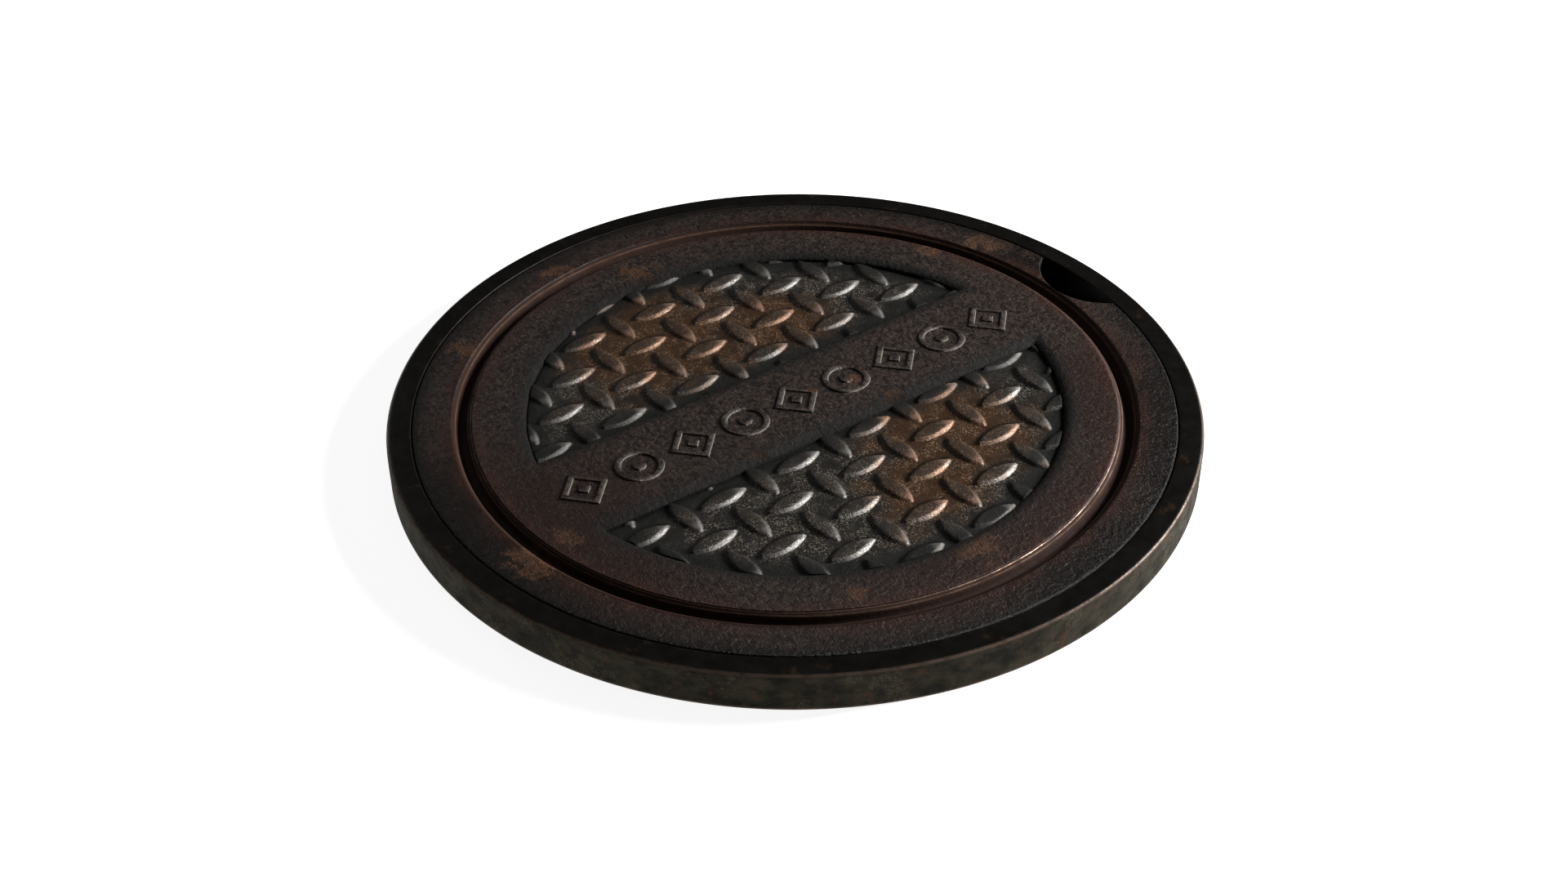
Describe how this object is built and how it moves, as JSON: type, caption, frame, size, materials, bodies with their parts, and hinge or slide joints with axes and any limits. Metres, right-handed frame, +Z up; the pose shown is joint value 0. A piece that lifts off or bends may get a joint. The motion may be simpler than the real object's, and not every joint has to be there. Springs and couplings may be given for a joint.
{
  "type": "manhole cover",
  "caption": "Round cast-iron manhole cover in a plain ring frame, with two inlaid lozenge-pattern steel tread plates and a pick notch.",
  "frame": {"origin": "centre of the frame's flat base, on the surface that it stands on", "axes": "+Z up, through the centre of the cover; +X along the raised band towards the pick notch; the upper tread plate is on the +Y side"},
  "size_m": [0.7079, 0.708, 0.0364],
  "materials": {
    "frame_iron": "machined and blackened, with brown worn edges",
    "cover_iron": "dark brown-black sand-cast skin with patches of orange rust",
    "tread_steel": "worn dark steel, rusted brown in the middle, bright on the lozenge flanks",
    "gasket_rubber": "matt black",
    "fastener_steel": "dull zinc with light rust"
  },
  "bodies": {
    "frame": {"frame_rim": "frame_iron", "frame_seat": "frame_iron"},
    "seat_ring": {"seat_gasket": "gasket_rubber"},
    "cover": {"cover": "cover_iron", "upper_tread_plate": "tread_steel", "lower_tread_plate": "tread_steel", "upper_plate_studs": "fastener_steel", "upper_plate_washers": "fastener_steel", "upper_plate_nuts": "fastener_steel", "lower_plate_studs": "fastener_steel", "lower_plate_washers": "fastener_steel", "lower_plate_nuts": "fastener_steel"}
  },
  "joints": [
    {"name": "cover_turn", "type": "hinge", "parent": "frame", "child": "seat_ring", "pos_m": [0, 0, 0.009], "axis": [0, 0, 1], "continuous": true},
    {"name": "cover_lift", "type": "slide", "parent": "seat_ring", "child": "cover", "axis": [0, 0, 1], "range_m": [0, 0.15]}
  ]
}
